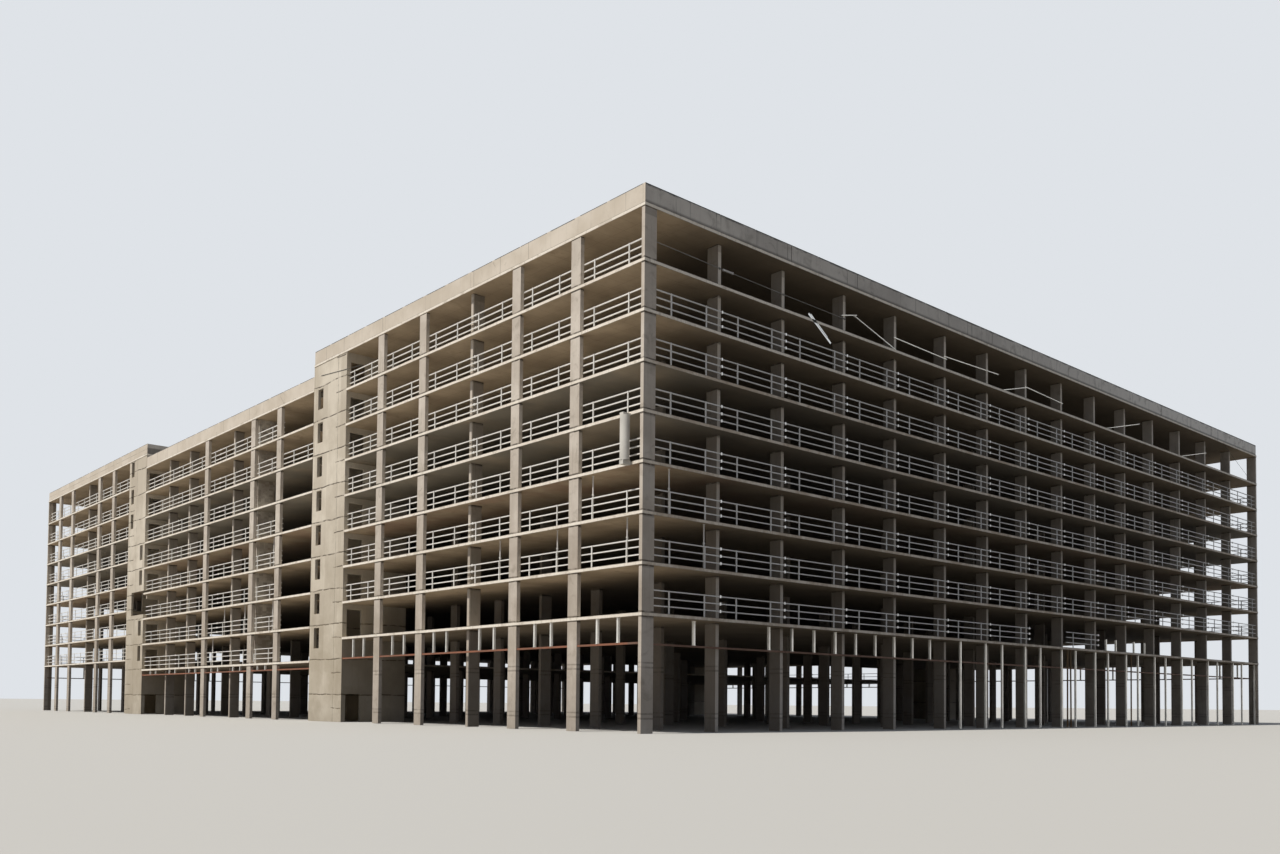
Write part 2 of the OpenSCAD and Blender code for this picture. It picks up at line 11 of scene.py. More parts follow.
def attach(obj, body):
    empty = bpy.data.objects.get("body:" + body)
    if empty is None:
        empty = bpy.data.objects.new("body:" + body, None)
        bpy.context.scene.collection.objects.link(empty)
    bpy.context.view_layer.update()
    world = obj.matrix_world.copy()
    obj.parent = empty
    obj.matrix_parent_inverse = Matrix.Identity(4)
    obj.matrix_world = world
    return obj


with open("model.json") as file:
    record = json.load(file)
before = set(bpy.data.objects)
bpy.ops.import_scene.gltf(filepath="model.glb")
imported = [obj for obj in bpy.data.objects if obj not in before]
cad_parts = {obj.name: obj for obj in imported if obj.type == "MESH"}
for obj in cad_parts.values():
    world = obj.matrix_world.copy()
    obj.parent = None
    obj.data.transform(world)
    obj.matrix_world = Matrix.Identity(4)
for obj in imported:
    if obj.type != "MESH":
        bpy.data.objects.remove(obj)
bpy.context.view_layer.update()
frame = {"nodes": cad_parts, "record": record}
random.seed(7)

# Plan of the building in metres of the 1:10 model, measured from the near corner: u along the
# front face and v along the left face
LENGTH_U = 9.63
LENGTH_V = 13.165
MIDDLE_X = 0.0315
STOREY = 0.3
SLAB = 0.02
REAR_DROP = 0.055
FRONT_FLOORS = [0.71 + STOREY * i for i in range(8)]
MIDDLE_FLOORS = [0.528 + STOREY * i for i in range(8)]
REAR_FLOORS = [z - REAR_DROP for z in FRONT_FLOORS]
ROOF_TOP = 3.142
MIDDLE_ROOF_TOP = 2.924
REAR_ROOF_TOP = ROOF_TOP - REAR_DROP
PARAPET_TOP = 3.26
MIDDLE_PARAPET_TOP = 3.042
REAR_PARAPET_TOP = PARAPET_TOP - REAR_DROP
PARAPET_DEPTH = 0.006
FRONT_CORE = (3.7599, 4.3719)
REAR_CORE = (8.8207, 9.4357)

# Lines of the pylons: an even row of bays, and how many millimetres each line stands off it. The
# last two lines of the front stand a step further to the right
FRONT_FIRST, FRONT_BAY = 0.734, 8.268 / 13
FRONT_MOVES = [0, -19, 10, -9, 24, 11, 2, -5, -8, -14, -19, -6, -45, 15]
LAST_LINES_STEP = 0.075
SIDE_FIRST, SIDE_BAY = 0.65, 11.865 / 19
SIDE_MOVES = [6, 29, 12, 0, 22, 0, 0, 74, 49, -5, 2, -15, -8, 65, 0, 53, 33, 0, 20, 20]
FRONT_LINES = [FRONT_FIRST + FRONT_BAY * j + move / 1000 + (LAST_LINES_STEP if j > 11 else 0)
               for j, move in enumerate(FRONT_MOVES)]
SIDE_LINES = [SIDE_FIRST + SIDE_BAY * k + move / 1000 for k, move in enumerate(SIDE_MOVES)]

# Side pylons that stand crosswise, and half the thickness of a pylon in either way
CROSSWISE = [2, 9, 11, 12, 17]
HALF_CROSSWISE = 0.014
HALF_LENGTHWISE = 0.0475

# Camera, solved from the slab edges of the photograph, in its pixels and in radians
IMAGE_WIDTH, IMAGE_HEIGHT = 1280, 854
FOCAL_PIXELS = 1106.2
CENTRE_ROW = 666.19
YAW, PITCH, ROLL = 0.7287, 0.034, 0.00897
EYE = (-4.2905, -4.7979, 0.1739)
SENSOR_WIDTH = 36


# A spot on each face: how far along it, how deep behind it, and how high. The back face has the
# floors of the rear block, and the right face those of the left one
def at(u, v, z):
    return Vector((u - LENGTH_U / 2 + MIDDLE_X, v - LENGTH_V / 2, z))


def at_back(u, depth, z):
    return at(u, LENGTH_V - depth, z - REAR_DROP)


def at_left(v, depth, z):
    return at(depth, v, z)


def at_right(v, depth, z):
    return at(LENGTH_U - depth, v, z)


def place_camera():
    level = math.cos(PITCH)
    ahead = Vector((math.sin(YAW) * level, math.cos(YAW) * level, math.sin(PITCH)))
    side = Vector((math.cos(YAW), -math.sin(YAW), 0))
    up = side.cross(ahead)
    right = side * math.cos(ROLL) + up * math.sin(ROLL)
    top = up * math.cos(ROLL) - side * math.sin(ROLL)
    data = bpy.data.cameras.new("camera")
    data.sensor_fit = "HORIZONTAL"
    data.sensor_width = SENSOR_WIDTH
    data.lens = SENSOR_WIDTH * FOCAL_PIXELS / IMAGE_WIDTH
    data.shift_y = (CENTRE_ROW - IMAGE_HEIGHT / 2) / IMAGE_WIDTH
    data.clip_start = 0.1
    data.clip_end = 2000
    camera = bpy.data.objects.new("camera", data)
    camera.matrix_world = Matrix((right, top, -ahead)).transposed().to_4x4()
    camera.matrix_world.translation = at(*EYE)
    bpy.context.scene.collection.objects.link(camera)
    bpy.context.scene.camera = camera


def linear(hexcode):
    channels = [int(hexcode[i:i + 2], 16) / 255 for i in (1, 3, 5)]
    return [c / 12.92 if c <= 0.04045 else ((c + 0.055) / 1.055) ** 2.4 for c in channels] + [1.0]


def add(tree, kind, *values, **named):
    """One node. Values fill its open sockets in order, and a name with a capital is a socket too;
    the other names are the node's settings. A node given as a value is its first open output."""
    node = tree.nodes.new("ShaderNode" + kind)
    for name in [name for name in named if name.islower()]:
        setattr(node, name, named.pop(name))
    inputs = list(zip([socket for socket in node.inputs if socket.enabled], values))
    inputs += [(node.inputs[name], value) for name, value in named.items()]
    for socket, value in inputs:
        if isinstance(value, bpy.types.Node):
            value = next(output for output in value.outputs if output.enabled)
        if isinstance(value, bpy.types.NodeSocket):
            tree.links.new(value, socket)
        else:
            socket.default_value = linear(value) if isinstance(value, str) else value
    return node


class Shading:
    """The nodes of a material or of the world, put together step by step."""

    def __init__(self, owner):
        owner.use_nodes = True
        owner.node_tree.nodes.clear()
        self.owner = owner
        self.add = partial(add, owner.node_tree)

    def joined(self, operation, *values):
        """The values taken together one after another, such as all multiplied."""
        result = values[0]
        for value in values[1:]:
            result = self.add("Math", result, value, operation=operation)
        return result

    def background_rays(self):
        """1 for the rays that show the background, straight or by way of metal or glass."""
        rays = self.add("LightPath").outputs
        kinds = ("Is Camera Ray", "Is Glossy Ray", "Is Transmission Ray")
        return self.joined("MAXIMUM", *[rays[kind] for kind in kinds])


class Surface(Shading):
    """A material. A noise of scale n leaves marks that are about 1000 / n mm wide."""

    def __init__(self, name):
        super().__init__(bpy.data.materials.new(name))
        self.place = self.add("TexCoord").outputs["Object"]
        self.x, self.y, self.z = self.add("SeparateXYZ", self.place).outputs
        self.facing = self.add("SeparateXYZ", self.add("NewGeometry").outputs["Normal"]).outputs

    def where(self, *limits):
        """1 where every value has passed from the first number of its limit to the second, with
        a soft border. A limit may also say what it gives before and past them."""
        soft = [self.add("MapRange", *limit, interpolation_type="SMOOTHSTEP") for limit in limits]
        return self.joined("MULTIPLY", *soft)

    def near(self, value, low, high, border):
        """1 where value lies between low and high."""
        return self.where((value, low - border, low), (value, high + border, high))

    def either_way(self, value, start, end):
        """1 where value, whichever its sign, has passed from start to end."""
        return self.where((self.add("Math", value, operation="ABSOLUTE"), start, end))

    def marks(self, scale, start, end, detail=4, rough=0.55, swirl=0, give=(0, 1), place=None):
        """Blots where a noise passes from start to end. Three scales stretch them to streaks."""
        if isinstance(scale, tuple):
            place, scale = self.add("Mapping", self.place, Scale=scale), 1
        noise = self.add("TexNoise", place or self.place, Scale=scale, Detail=detail,
                         Roughness=rough, Distortion=swirl)
        return self.where((noise, start, end, *give))

    def steps(self, value, spacing, start=0):
        """How many marks a spacing apart value has passed, counted from start."""
        passed = self.joined("DIVIDE", self.joined("ADD", value, -start), spacing)
        return self.add("Math", passed, operation="FLOOR")

    def repeat(self, value, spacing, start=0):
        """How far value lies past the last of the marks a spacing apart. It is lifted by many
        spacings first, because the remainder of a negative number would run backwards."""
        lifted = self.joined("ADD", value, 60 * spacing - start)
        return self.joined("MODULO", lifted, spacing)

    def lines(self, value, spacing, width, start=0):
        """1 on thin lines that lie a spacing apart along value, 0 between them."""
        part = self.repeat(value, spacing, start - spacing / 2)
        off = self.add("Math", self.joined("SUBTRACT", part, spacing / 2), operation="ABSOLUTE")
        return self.where((off, width * 0.6, width * 0.3))

    def coat(self, colour, over, *shares):
        """The second colour laid over the first, as strong as its shares multiplied."""
        return self.add("Mix", self.joined("MULTIPLY", *shares), colour, over, data_type="RGBA")

    def finish(self, colour, roughness, height=None, deep=0.001, strength=1, metallic=0):
        """Closes the material. Bumps from height are as deep as this many metres."""
        bump = {} if height is None else {"Normal": self.add("Bump", strength, deep, Height=height)}
        shader = self.add("BsdfPrincipled", colour, metallic, roughness, **bump)
        self.add("OutputMaterial", shader)
        return self.owner


# Skin that the plywood forms leave on every cast face: swollen patches, sunken grooves, and air
# holes some 3 mm apart. Its grit is drawn at 4 mm, far coarser than sand, so that it shows
GRIT = {"Detail": 3, "Roughness": 0.6}
SKIN_DEPTH = 0.0012


def cast_skin(s, colour, patch, swell, grit_scale, hole_scale, hole_colour, grooves=()):
    holes = s.where((s.add("TexVoronoi", s.place, Scale=hole_scale), 0.10, 0.02))
    colour = s.coat(colour, hole_colour, holes, 0.5)
    grit = s.add("TexNoise", s.place, Scale=grit_scale, **GRIT)
    height = s.joined("ADD", grit, s.joined("MULTIPLY", patch, swell))
    height = s.joined("SUBTRACT", height, holes, *grooves)
    chalky_to_rubbed = s.where((patch, 0.2, 0.8, 0.95, 0.82))
    return s.finish(colour, chalky_to_rubbed, height, SKIN_DEPTH, strength=0.7)


# Cast concrete from plywood forms, storey by storey: a dark cold joint where each lift meets the
# slab, rain runs about 24 mm wide and lime bloom of 33 mm, patches of 80 mm rubbed with mortar on
# clouds of 300 mm, and more dirt low down
def pylon_concrete(name, first_floor, roof_top):
    s = Surface(name)
    ceiling = roof_top - SLAB
    soffit = STOREY - SLAB
    cloud = s.add("TexNoise", s.place, Scale=3.2, Detail=5, Roughness=0.6)
    patch = s.add("TexNoise", s.place, Scale=13, Detail=6, Roughness=0.62, Distortion=0.6)
    colour = s.coat("#bbb1a4", "#d2c9bd", s.where((cloud, 0.35, 0.68)))
    colour = s.coat(colour, "#8a7f70", s.where((patch, 0.50, 0.74)), 0.5)
    stain = s.marks(7.5, 0.62, 0.70, detail=6, rough=0.75, swirl=1.2)
    colour = s.coat(colour, "#5f564b", stain, s.marks(1.1, 0.45, 0.6, detail=2), 0.6)
    runs = s.marks((42, 42, 1.6), 0.54, 0.80, detail=5, rough=0.7)
    colour = s.coat(colour, "#7f7364", runs, 0.5)
    lime = s.marks((30, 30, 2.4), 0.60, 0.80, detail=4, rough=0.6)
    colour = s.coat(colour, "#e2dbcf", lime, 0.4)
    # Every storey came out of the forms a little different in tone. The top one is taller than
    # the others, so their count stops a little below the roof
    z = s.joined("MINIMUM", s.z, ceiling - 0.045)
    storey, apart_in_noise = s.steps(z, STOREY, first_floor - 10 * STOREY), 3.7
    lift = s.add("CombineXYZ", s.x, s.y, s.joined("MULTIPLY", storey, apart_in_noise))
    tone = s.marks(1.7, 0.45, 0.65, detail=1, rough=0.5, place=lift)
    colour = s.coat(colour, "#a3988a", tone, 0.28)
    # Painted shade darkens the faces of the inner pylons that turn to the left, and the faces that
    # turn to the front behind the front row. Painted light makes the front faces of the front row
    # pale, most of all at its top
    left_turned, front_turned = (s.facing[0], -0.3, -0.8), (s.facing[1], -0.3, -0.8)
    inside_left, less_far_in = (s.x, -4.6, -4.5), (s.x, 2.5, -2.0, 0.25, 1.0)
    # Painted shade on the left-turned faces of the inner pylons
    colour = s.coat(colour, "#5d564d", s.where(left_turned, inside_left, less_far_in), 0.62)
    behind_front_row, past_corner = (s.y, -6.35, -6.3), (s.x, -4.735, -4.725)
    # Painted shade on the front-turned faces behind the front row
    dusty = s.where(front_turned, behind_front_row, past_corner)
    colour = s.coat(colour, "#5f564a", dusty, 0.6)
    front_row, upper = (s.y, -6.2, -6.4), (s.z, 2.35, 2.5, 0.25, 0.75)
    # Painted light: the front faces of the front row are made pale
    washed = s.where(front_turned, inside_left, front_row)
    colour = s.coat(colour, "#eee5d6", washed, s.where(upper))
    # Joints at the foot and the head of each storey, and a darker band below each slab on the long
    # faces, which is painted shade
    above_floor = s.repeat(z, STOREY, first_floor)
    foot = s.where((above_floor, 0.012, 0.006))
    head = s.near(above_floor, soffit - 0.008, soffit + 0.001, 0.002)
    top_head = s.where((s.z, ceiling - 0.006, ceiling - 0.003))
    broken = s.marks(24, 0.35, 0.55, detail=3, give=(0.35, 1.0))
    less_below = s.where((s.z, first_floor - 0.04, first_floor - 0.02, 0.5, 1.0))
    joint = s.joined("MULTIPLY", s.joined("MAXIMUM", foot, s.joined("MAXIMUM", head, top_head)),
                     broken, less_below)
    colour = s.coat(colour, "#453d33", joint, 0.9)
    long_face = s.either_way(s.facing[1], 0.3, 0.8)
    # Painted shade: a darker band on the long faces just below each slab
    cap = s.near(above_floor, soffit - 0.015, soffit + 0.001, 0.004)
    painted_shade_top_cap = s.where((s.z, ceiling - 0.018, ceiling - 0.012))
    over_ground = s.where((s.z, first_floor - 0.05, first_floor - 0.03))
    cap = s.joined("MAXIMUM", cap, painted_shade_top_cap)
    colour = s.coat(colour, "#51483d", cap, long_face, over_ground, 0.3)
    low = s.where((s.z, 2.0, 0.7))
    dirt = s.marks(5.5, 0.3, 0.6, detail=5, rough=0.65, give=(0.45, 1.0))
    colour = s.coat(colour, "#8d8071", low, dirt, s.where((long_face, 0, 1, 0.42, 0.05)))
    return cast_skin(s, colour, patch, swell=1.5, grit_scale=260, hole_scale=300,
                     hole_colour="#6f665a", grooves=[s.joined("MULTIPLY", joint, 2)])


# Core walls cast in big panels of 240 mm, with joints at the floors of the blocks on both sides
# and one upright joint, rain runs of 30 mm, and the faint seams of sheets 120 mm wide
def core_concrete(name, levels, second_reach, upright):
    s = Surface(name)
    patch = s.add("TexNoise", s.place, Scale=9, Detail=6, Roughness=0.6, Distortion=0.5)
    colour = s.coat("#c1b7a6", "#d6cdbd", s.marks(2.6, 0.36, 0.66, detail=5, rough=0.6))
    # Panels differ a little in tone
    panel_width, behind_all, below_all = 0.24, -20, levels[0] - 10 * STOREY
    panel = s.add("CombineXYZ", s.steps(s.y, panel_width, behind_all),
                  s.steps(s.z, STOREY, below_all))
    tone = s.where((s.add("TexWhiteNoise", panel), 0.3, 0.9))
    colour = s.coat(colour, "#a99e8d", tone, 0.42)
    colour = s.coat(colour, "#9c8f7c", s.where((patch, 0.55, 0.8)), 0.3)
    # Joints wander by some millimetres and come and go
    furthest = 0.035
    bend = s.add("TexNoise", s.place, Scale=4.5, Detail=4, Roughness=0.55)
    wander = s.joined("MULTIPLY", s.joined("SUBTRACT", bend, 0.5), furthest)
    z = s.joined("ADD", s.z, wander)
    joints = s.lines(z, STOREY, 0.012, levels[0])
    second = s.joined("MULTIPLY", s.lines(z, STOREY, 0.011, levels[1]),
                      s.near(s.y, *second_reach, 0.02))
    standing = s.near(s.joined("ADD", s.y, wander), upright - 0.003, upright + 0.003, 0.002)
    joints = s.joined("MAXIMUM", joints, second, s.joined("MULTIPLY", standing, 0.6))
    broken = s.marks(16, 0.36, 0.56, detail=4, rough=0.7, give=(0.2, 1.0))
    joints = s.joined("MULTIPLY", joints, broken)
    colour = s.coat(colour, "#51483c", joints, 0.9)
    runs = s.marks((34, 34, 1.4), 0.56, 0.8, detail=5, rough=0.7)
    colour = s.coat(colour, "#8c806e", runs, 0.38)
    sheet, seam = 0.12, 0.003
    sheets = s.joined("MAXIMUM", s.lines(s.y, sheet, seam), s.lines(s.x, sheet, seam))
    colour = s.coat(colour, "#8f8371", sheets, 0.22)
    low = s.marks(5.0, 0.3, 0.6, detail=5, rough=0.65, give=(0.5, 1.0))
    colour = s.coat(colour, "#93866f", s.where((s.z, 1.9, 0.5)), low, 0.45)
    grooves = s.joined("MAXIMUM", joints, s.joined("MULTIPLY", sheets, 0.3))
    return cast_skin(s, colour, patch, swell=1.3, grit_scale=240, hole_scale=260,
                     hole_colour="#6f6557", grooves=[s.joined("MULTIPLY", grooves, 2.5)])


# Parapet of cast concrete: the long faces are a cooler grey than the warm side faces, painted shade
# for the sky-lit shade they stand in, grow paler toward the far end, and are streaked with runs of
# 28 mm
def parapet_concrete():
    s = Surface("cast_concrete_parapet")
    cloud = s.add("TexNoise", s.place, Scale=3.0, Detail=5, Roughness=0.6)
    patch = s.add("TexNoise", s.place, Scale=10, Detail=6, Roughness=0.62, Distortion=0.6)
    warm = s.coat("#c6bbab", "#d5cbbd", s.where((cloud, 0.36, 0.66)))
    warm = s.coat(warm, "#a39887", s.where((patch, 0.56, 0.8)), 0.3)
    # Painted shade: a cooler grey for the long faces, paler toward the far end
    washed = s.coat("#c6c0b7", "#dad4ca", s.where((cloud, 0.36, 0.66)))
    washed = s.coat(washed, "#fbf6ec", s.where((s.x, -2.5, 3.5)))
    washed = s.coat(washed, "#948d83", s.where((patch, 0.5, 0.72)), 0.5)
    long_face = s.either_way(s.facing[1], 0.4, 0.8)
    colour = s.coat(warm, washed, long_face)
    runs = s.marks((36, 36, 1.2), 0.55, 0.78, detail=5, rough=0.7)
    upper = s.where((s.z, 2.9, 3.2, 0.4, 1.0))
    colour = s.coat(colour, "#66615a", runs, upper, s.where((long_face, 0, 1, 0.28, 0.6)))
    stain = s.marks(5.2, 0.62, 0.72, detail=6, rough=0.75, swirl=1.2)
    colour = s.coat(colour, "#6e6355", stain, 0.5)
    # Dark dirt gathers at the foot and in the upright joints, which lie at the ends of the cast
    # lengths and where two casts of unlike length met
    span = (LENGTH_U - 2 * PARAPET_DEPTH) / 15
    longer_span = span * 1.121
    first, longer_first = at(PARAPET_DEPTH, 0, 0).x, at(2.045, 0, 0).x
    joints = s.joined("MAXIMUM", s.lines(s.x, span, 0.006, first),
                      s.lines(s.x, longer_span, 0.008, longer_first))
    joints = s.joined("MULTIPLY", joints, s.marks(2.1, 0.42, 0.55, detail=2, give=(0.25, 1.0)))
    foot = s.where((s.z, ROOF_TOP + 0.026, ROOF_TOP + 0.006))
    dirt = s.joined("MAXIMUM", joints, s.joined("MULTIPLY", foot, 0.75))
    colour = s.coat(colour, "#4b4640", dirt, long_face, 0.85)
    side_span, side_start = 0.331, -6.4
    side_joints = s.joined("MULTIPLY", s.lines(s.y, side_span, 0.006, side_start),
                           s.marks(1.7, 0.45, 0.55, detail=2, give=(0.1, 1.0)))
    side_foot = s.joined("MULTIPLY", s.near(s.z, ROOF_TOP, ROOF_TOP + 0.004, 0.003),
                         s.marks(6, 0.4, 0.55, give=(0.2, 1.0)))
    side_dirt = s.joined("MAXIMUM", side_joints, side_foot)
    colour = s.coat(colour, "#5f564b", side_dirt, s.where((long_face, 1, 0)), 0.5)
    rim = s.where((s.z, PARAPET_TOP - 0.018, PARAPET_TOP - 0.008))
    grime = s.marks(9, 0.42, 0.58, detail=5, rough=0.7)
    colour = s.coat(colour, "#504b45", rim, grime, long_face, 0.8)
    colour = s.coat(colour, "#8e8c86", s.where((s.facing[2], 0.3, 0.7)), 0.6)
    return cast_skin(s, colour, patch, swell=1.4, grit_scale=240, hole_scale=280,
                     hole_colour="#6f675c")


# Slabs cast on plywood sheets of 244 by 122 mm: their seams show below, trowelled and dusty above,
# and the edges are pale, with drips of dirt 17 mm wide and a dark arris. The edges of the long
# faces are paler still, painted light for the shade they stand in
def slab_concrete(name, first_floor, floor_colours=("#67635b", "#7b766d", "#cfc9bd")):
    s = Surface(name)
    cloud = s.add("TexNoise", s.place, Scale=2.4, Detail=5, Roughness=0.6)
    patch = s.add("TexNoise", s.place, Scale=9, Detail=6, Roughness=0.65, Distortion=0.8)
    soffit = s.coat("#a6937a", "#bda98e", s.where((cloud, 0.35, 0.7)))
    sheet_length, sheet_width, seam = 0.244, 0.122, 0.003
    ply = s.joined("MAXIMUM", s.lines(s.x, sheet_length, seam), s.lines(s.y, sheet_width, seam))
    soffit = s.coat(soffit, "#5f5446", ply, 0.35)
    damp = s.marks(3.4, 0.56, 0.70, detail=6, rough=0.7, swirl=1.4)
    soffit = s.coat(soffit, "#806d56", damp, 0.4)
    bloom = s.marks(4.6, 0.66, 0.76, detail=6, rough=0.7, swirl=1.8)
    soffit = s.coat(soffit, "#d8ccb8", bloom, 0.45)
    # The forms left a greyer face on two storeys and a redder one below them. Deep inside, the
    # soffits are darkened with painted shade
    grey_storeys, grey = (1.80, 2.36), s.marks(1.3, 0.3, 0.55, detail=3, rough=0.6, give=(0.5, 1.0))
    soffit = s.coat(soffit, "#76736a", s.near(s.z, *grey_storeys, 0.04), grey, 0.75)
    red_storey, red = (1.50, 1.70), s.marks(1.9, 0.4, 0.6, detail=3, rough=0.6)
    soffit = s.coat(soffit, "#94715c", s.near(s.z, *red_storey, 0.03), red, 0.5)
    painted_shade_deep_inside = s.either_way(s.x, 4.55, 3.9)
    soffit = s.coat(soffit, "#4f4538", painted_shade_deep_inside, 0.62)
    dusty, trowelled, washed = floor_colours
    top = s.coat(dusty, trowelled, s.where((patch, 0.4, 0.7)))
    by_the_side = s.either_way(s.x, 4.3, 4.6)
    top = s.coat(top, washed, by_the_side)
    edge = s.coat("#e3dacc", "#efe8db", s.where((cloud, 0.36, 0.66)))
    long_face = s.either_way(s.facing[1], 0.4, 0.8)
    # Painted light: the edges of the long faces are paler
    edge = s.coat(edge, "#fcf3e3", long_face)
    dirt = s.marks(4.0, 0.40, 0.60, detail=6, rough=0.75, give=(0.35, 1.0))
    edge = s.coat(edge, "#9a8062", long_face, s.where((s.z, 2.5, 2.2, 0.0, 0.6)), dirt)
    edge = s.coat(edge, "#94866f", s.where((patch, 0.50, 0.70)), 0.45)
    drips = s.marks((60, 60, 3), 0.52, 0.74, detail=4, rough=0.65)
    edge = s.coat(edge, "#7f7362", drips, 0.3)
    depth = s.repeat(s.z, STOREY, first_floor - SLAB)
    arris = s.joined("MAXIMUM", s.where((depth, SLAB - 0.0035, SLAB - 0.001)),
                     s.where((depth, 0.003, 0.001)))
    grime = s.marks(14, 0.35, 0.6, detail=4, rough=0.7, give=(0.25, 0.8))
    edge = s.coat(edge, "#5b5246", arris, grime)
    colour = s.coat(edge, top, s.where((s.facing[2], 0.3, 0.7)))
    colour = s.coat(colour, soffit, s.where((s.facing[2], -0.3, -0.7)))
    grit = s.add("TexNoise", s.place, Scale=240, **GRIT)
    height = s.joined("SUBTRACT", grit, s.joined("MULTIPLY", ply, 0.8))
    chalky_to_rubbed = s.where((patch, 0.2, 0.8, 0.95, 0.82))
    return s.finish(colour, chalky_to_rubbed, height, SKIN_DEPTH, strength=0.6)


# Steel with a thin coat of paint or zinc, dusty, worn through to rust in spots of 26 mm. The
# grain of the coat is drawn at 2 mm, because the real one is too fine to show
COAT_DEPTH = 0.0003


def coated_steel(name, fresh, dull, rust_share, roughness=0.5, metallic=0):
    s = Surface(name)
    wear = s.add("TexNoise", s.place, Scale=38, Detail=6, Roughness=0.7)
    colour = s.coat(fresh, dull, s.marks(7, 0.35, 0.7, detail=4, rough=0.6))
    rusted = 0.74 - rust_share * 0.2
    colour = s.coat(colour, "#6f3f24", s.where((wear, rusted, rusted + 0.1)))
    rough = s.where((wear, 0.3, 0.8, roughness, roughness + 0.25))
    grain = s.add("TexNoise", s.place, Scale=500, Detail=2, Roughness=0.5)
    return s.finish(colour, rough, grain, COAT_DEPTH, strength=0.4, metallic=metallic)


# Purlins in red lead primer on the side faces; on the long faces a darker brown, painted shade for
# the shade they stand in
def primed_steel():
    s = Surface("primed_purlin_steel")
    wear = s.add("TexNoise", s.place, Scale=38, Detail=6, Roughness=0.7)
    side = s.coat("#8f5c44", "#7a5340", s.marks(7, 0.35, 0.7, detail=4, rough=0.6))
    # Painted shade: a darker brown for the long faces
    brown = s.coat("#5f4436", "#74594a", s.marks(9, 0.35, 0.7, detail=4, rough=0.6))
    colour = s.coat(side, brown, s.either_way(s.y, 6.44, 6.46))
    colour = s.coat(colour, "#5f3520", s.where((wear, 0.6, 0.75)))
    grain = s.add("TexNoise", s.place, Scale=500, Detail=2, Roughness=0.5)
    rough = s.where((wear, 0.3, 0.8, 0.6, 0.85))
    return s.finish(colour, rough, grain, COAT_DEPTH, strength=0.4)


# Sheet steel flashing, folded over the parapet and nearly black with weather
def flashing_steel():
    s = Surface("weathered_sheet_steel")
    wear = s.add("TexNoise", s.place, Scale=20, Detail=5, Roughness=0.65)
    colour = s.coat("#3a3b3d", "#595a5a", s.where((wear, 0.35, 0.7)))
    grain = s.add("TexNoise", s.place, Scale=300, Detail=2, Roughness=0.5)
    rough = s.where((wear, 0.3, 0.8, 0.45, 0.7))
    return s.finish(colour, rough, grain, COAT_DEPTH, strength=0.4, metallic=0.4)


# Sawn softwood, greyed by weather. Its grain is drawn 7 mm wide, as coarse as it needs to show
def sawn_timber():
    s = Surface("sawn_brown_softwood")
    lengthwise = s.add("Mapping", s.place, Scale=(150, 150, 6))
    grain = s.add("TexNoise", lengthwise, Scale=1, Detail=5, Roughness=0.6)
    colour = s.coat("#8a6b48", "#7a6a55", s.marks(6, 0.35, 0.7))
    colour = s.coat(colour, "#5a4a38", s.where((grain, 0.5, 0.75)), 0.5)
    return s.finish(colour, 0.85, grain, deep=0.0006, strength=0.5)


# Aerated concrete blocks of 40 by 20 mm, pale and chalky, each a little different in tone
BLOCK_LENGTH, BLOCK_HEIGHT = 0.04, 0.02


def block_masonry():
    s = Surface("aerated_concrete_block")
    colour = s.coat("#a2978a", "#cbc3b6", s.marks(7, 0.35, 0.65, detail=3, rough=0.5))
    unlike = 7.3  # keeps the numbers of the blocks in a course off those of the other courses
    each = s.joined("ADD", s.joined("MULTIPLY", s.steps(s.x, BLOCK_LENGTH), unlike),
                    s.steps(s.z, BLOCK_HEIGHT))
    tone = s.add("TexWhiteNoise", each, noise_dimensions="1D")
    colour = s.coat(colour, "#83786a", s.where((tone, 0.4, 1.0)), 0.55)
    colour = s.coat(colour, "#7f7567", s.marks(22, 0.5, 0.75, detail=5, rough=0.7), 0.4)
    pores = s.add("TexNoise", s.place, Scale=280, Detail=4, Roughness=0.6)
    return s.finish(colour, 0.9, pores, deep=0.001, strength=0.8)


front_pylon = pylon_concrete("cast_concrete_front_pylon", FRONT_FLOORS[0], ROOF_TOP)
middle_pylon = pylon_concrete("cast_concrete_middle_pylon", MIDDLE_FLOORS[0], MIDDLE_ROOF_TOP)
rear_pylon = pylon_concrete("cast_concrete_rear_pylon", REAR_FLOORS[0], REAR_ROOF_TOP)
front_slab = slab_concrete("cast_concrete_front_slab", FRONT_FLOORS[0])
middle_slab = slab_concrete("cast_concrete_middle_slab", MIDDLE_FLOORS[0])
rear_slab = slab_concrete("cast_concrete_rear_slab", REAR_FLOORS[0])
roof_colours = ("#8f8b83", "#a29d94", "#96928a")
roof_slab = slab_concrete("cast_concrete_front_roof", ROOF_TOP, roof_colours)
middle_roof = slab_concrete("cast_concrete_middle_roof", MIDDLE_ROOF_TOP, roof_colours)
rear_roof = slab_concrete("cast_concrete_rear_roof", REAR_ROOF_TOP, roof_colours)
front_core = core_concrete("cast_concrete_front_core", (MIDDLE_FLOORS[0], FRONT_FLOORS[0]),
                           second_reach=(-2.80, -2.65), upright=-2.6725)
rear_core = core_concrete("cast_concrete_rear_core", (MIDDLE_FLOORS[0], REAR_FLOORS[0]),
                          second_reach=(2.65, 2.86), upright=2.56)
parapet = parapet_concrete()
rail_steel = coated_steel("painted_rail_steel", "#e6e4df", "#d7d5d0", rust_share=0.1)
post_steel = coated_steel("painted_post_steel", "#e1dfda", "#cecbc6", rust_share=0.15)
purlin_steel = primed_steel()
strip_steel = coated_steel("zinc_coated_pale_steel", "#e9e6df", "#d3d0c9", rust_share=0.04,
                           metallic=1)
tube_steel = coated_steel("painted_tube_steel", "#d0cdc5", "#bdbab2", rust_share=0.1)
plate_steel = coated_steel("galvanised_steel", "#b9bcbc", "#9fa2a1", rust_share=0, roughness=0.4)
